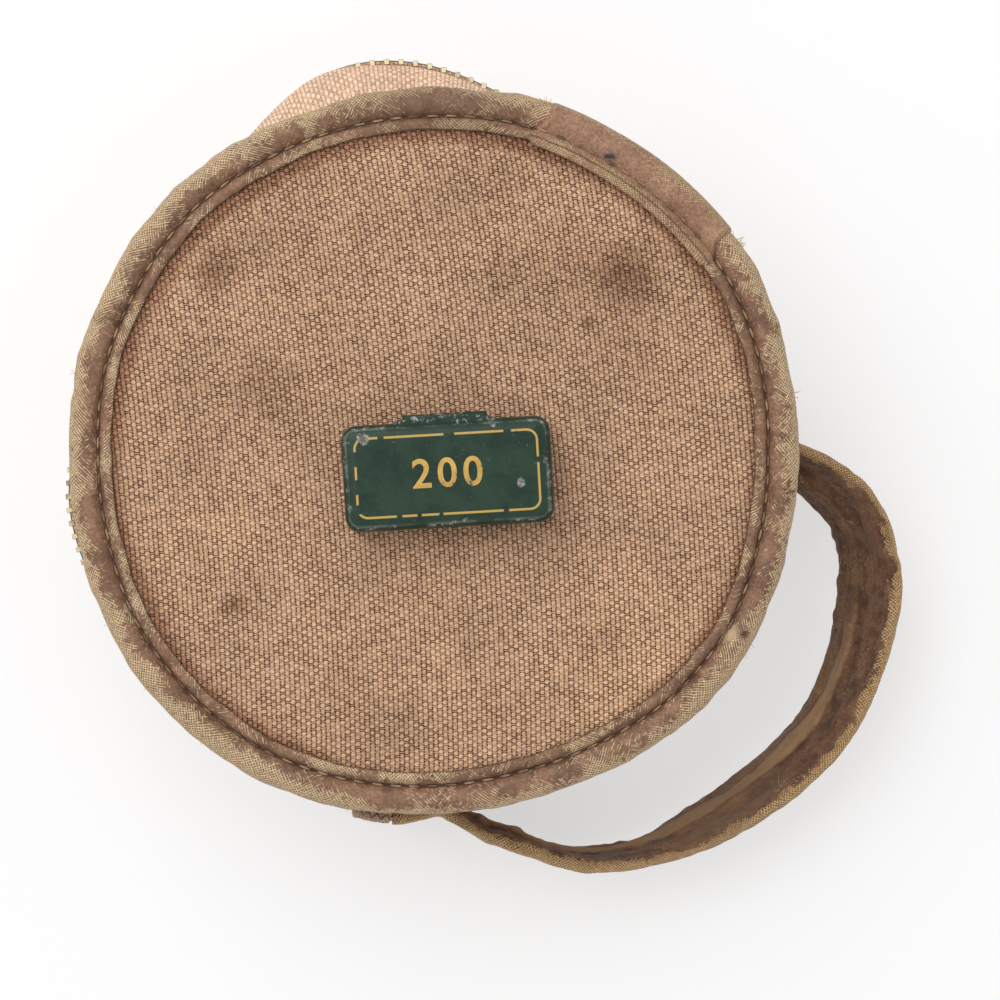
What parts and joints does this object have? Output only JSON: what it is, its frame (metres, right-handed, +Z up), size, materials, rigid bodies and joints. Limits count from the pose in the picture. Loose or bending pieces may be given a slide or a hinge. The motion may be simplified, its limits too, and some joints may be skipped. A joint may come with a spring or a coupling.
{
  "type": "portable phonograph",
  "caption": "Pocket clockwork phonograph in a hinged round metal case, inside a round canvas zip bag with bound rims and a hand strap, with a small hinged needle tin on the lid.",
  "frame": {"origin": "on the bag's axis, on the surface that it stands on, at the centre of the flat base panel", "axes": "+Z up along the bag's axis; +X and +Y lie in the resting plane, +X to the right and +Y to the top of the reference view, so the fabric hinge is at -47.5 degrees from +X"},
  "size_m": [0.1604, 0.1501, 0.0626],
  "materials": {
    "canvas": "coarse woven brown canvas, faded and stained",
    "bound_cloth": "glazed brown bias cloth, worn to the weave",
    "zip_tape": "woven cotton tape",
    "zip_metal": "dull nickel silver",
    "nickel": "bright nickel plate",
    "steel": "turned steel",
    "blue_steel": "blued spring steel",
    "brass": "lacquered brass",
    "felt": "green felt",
    "mica": "clear mica sheet",
    "celluloid": "black polished celluloid",
    "tin_paint": "dark green japanned tinplate, edges worn bare",
    "bare_tin": "bare tinned wire",
    "black_wood": "black polished wood"
  },
  "bodies": {
    "bag_base": {"base_panel": "canvas", "base_binding": "bound_cloth", "lower_wall": "canvas", "zip_tape_lower": "zip_tape", "zip_teeth_lower": "zip_metal", "strap_tab_right": "bound_cloth", "strap_tab_left": "bound_cloth", "case_base": "nickel", "case_hinge_pin": "steel", "motor_base_plate": "brass", "motor_plate": "nickel", "pillar_1": "brass", "pillar_2": "brass", "pillar_3": "brass", "winding_arbor": "steel", "ratchet_wheel": "steel", "click": "steel", "click_spring": "blue_steel", "governor_bracket_front": "brass", "governor_bracket_back": "brass", "tone_arm_post": "nickel", "crank": "nickel", "crank_clip_inner": "nickel", "crank_clip_outer": "nickel"},
    "bag_lid": {"lid_panel": "canvas", "lid_binding": "bound_cloth", "upper_wall": "canvas", "zip_tape_upper": "zip_tape", "zip_teeth_upper": "zip_metal", "fabric_hinge": "canvas"},
    "strap": {"strap": "bound_cloth"},
    "zip_slider": {"zip_slider": "zip_metal"},
    "zip_pull": {"zip_pull": "zip_metal"},
    "tin": {"tin_base": "tin_paint", "needles": "steel", "tin_hinge_pin": "bare_tin"},
    "tin_lid": {"tin_lid": "tin_paint"},
    "case_lid": {"case_lid": "nickel", "resonator_bowl": "celluloid", "resonator_cone": "celluloid"},
    "catch_button": {"catch_button": "nickel"},
    "turntable": {"turntable_hub": "nickel", "turntable_felt": "felt", "spindle": "steel", "worm_wheel": "brass"},
    "second_wheel": {"second_arbor": "steel", "second_wheel": "brass"},
    "barrel": {"spring_barrel": "brass", "barrel_cover": "brass", "mainspring": "blue_steel"},
    "governor": {"governor_worm": "steel", "governor_balls": "brass", "governor_disc": "brass"},
    "tone_arm": {"tone_arm": "nickel", "sound_box": "nickel", "diaphragm": "mica", "stylus_bar": "nickel"},
    "brake_lever": {"brake_lever": "nickel"},
    "crank_knob": {"crank_knob": "black_wood"}
  },
  "joints": [
    {"name": "bag_lid_hinge", "type": "hinge", "parent": "bag_base", "child": "bag_lid", "pos_m": [0.04526, -0.0494, 0.03], "axis": [0.7373, 0.6756, 0], "range_deg": [0, 100], "deforming": ["fabric_hinge"]},
    {"name": "case_lid_hinge", "type": "hinge", "parent": "bag_base", "child": "case_lid", "pos_m": [0.04006, -0.04372, 0.027], "axis": [0.7373, 0.6756, 0], "range_deg": [0, 70]},
    {"name": "strap_swing", "type": "hinge", "parent": "bag_base", "child": "strap", "pos_m": [0.04222, -0.04608, 0.013], "axis": [0.7373, 0.6756, 0], "range_deg": [-50, 0]},
    {"name": "zip_slide", "type": "hinge", "parent": "bag_base", "child": "zip_slider", "pos_m": [0, 0, 0.03], "axis": [0, 0, 1], "range_deg": [0, 240]},
    {"name": "zip_pull_swing", "type": "hinge", "parent": "zip_slider", "child": "zip_pull", "pos_m": [0.06732, 0.01492, 0.03], "axis": [0, 0, -1], "range_deg": [0, 150]},
    {"name": "tin_lift", "type": "slide", "parent": "bag_lid", "child": "tin", "axis": [0, 0, 1], "range_m": [0, 0.03]},
    {"name": "tin_lid_hinge", "type": "hinge", "parent": "tin", "child": "tin_lid", "pos_m": [0.00221, 0.00657, 0.05755], "axis": [-0.9983, -0.0576, 0], "range_deg": [0, 105]},
    {"name": "catch_press", "type": "slide", "parent": "bag_base", "child": "catch_button", "axis": [0.6756, -0.7373, 0], "range_m": [0, 0.001], "stiffness_N_per_m": 300},
    {"name": "turntable_spin", "type": "hinge", "parent": "bag_base", "child": "turntable", "pos_m": [0, 0, 0.02], "axis": [0, 0, 1], "continuous": true},
    {"name": "second_wheel_spin", "type": "hinge", "parent": "bag_base", "child": "second_wheel", "pos_m": [-0.02015, -0.00474, 0.012], "axis": [0, 0, 1], "continuous": true},
    {"name": "barrel_spin", "type": "hinge", "parent": "bag_base", "child": "barrel", "pos_m": [-0.02094, 0.02285, 0.012], "axis": [0, 0, 1], "continuous": true},
    {"name": "governor_spin", "type": "hinge", "parent": "bag_base", "child": "governor", "pos_m": [0.00878, -0.00958, 0.0129], "axis": [0.7373, 0.6756, 0], "continuous": true},
    {"name": "tone_arm_swing", "type": "hinge", "parent": "bag_base", "child": "tone_arm", "pos_m": [-0.04035, 0.01755, 0.032], "axis": [0, 0, -1], "range_deg": [0, 45]},
    {"name": "brake_lever_swing", "type": "hinge", "parent": "bag_base", "child": "brake_lever", "pos_m": [0.03259, -0.00965, 0.025], "axis": [0, 0, 1], "range_deg": [0, 25]},
    {"name": "crank_knob_spin", "type": "hinge", "parent": "bag_base", "child": "crank_knob", "pos_m": [-0.01073, -0.04306, 0.031], "axis": [0, 0, 1], "continuous": true}
  ],
  "couplings": [
    {"joint": "case_lid_hinge", "follows": "bag_lid_hinge", "ratio": 0.7},
    {"joint": "governor_spin", "follows": "turntable_spin", "ratio": -24},
    {"joint": "second_wheel_spin", "follows": "turntable_spin", "ratio": -0.27778},
    {"joint": "barrel_spin", "follows": "turntable_spin", "ratio": 0.07716}
  ]
}
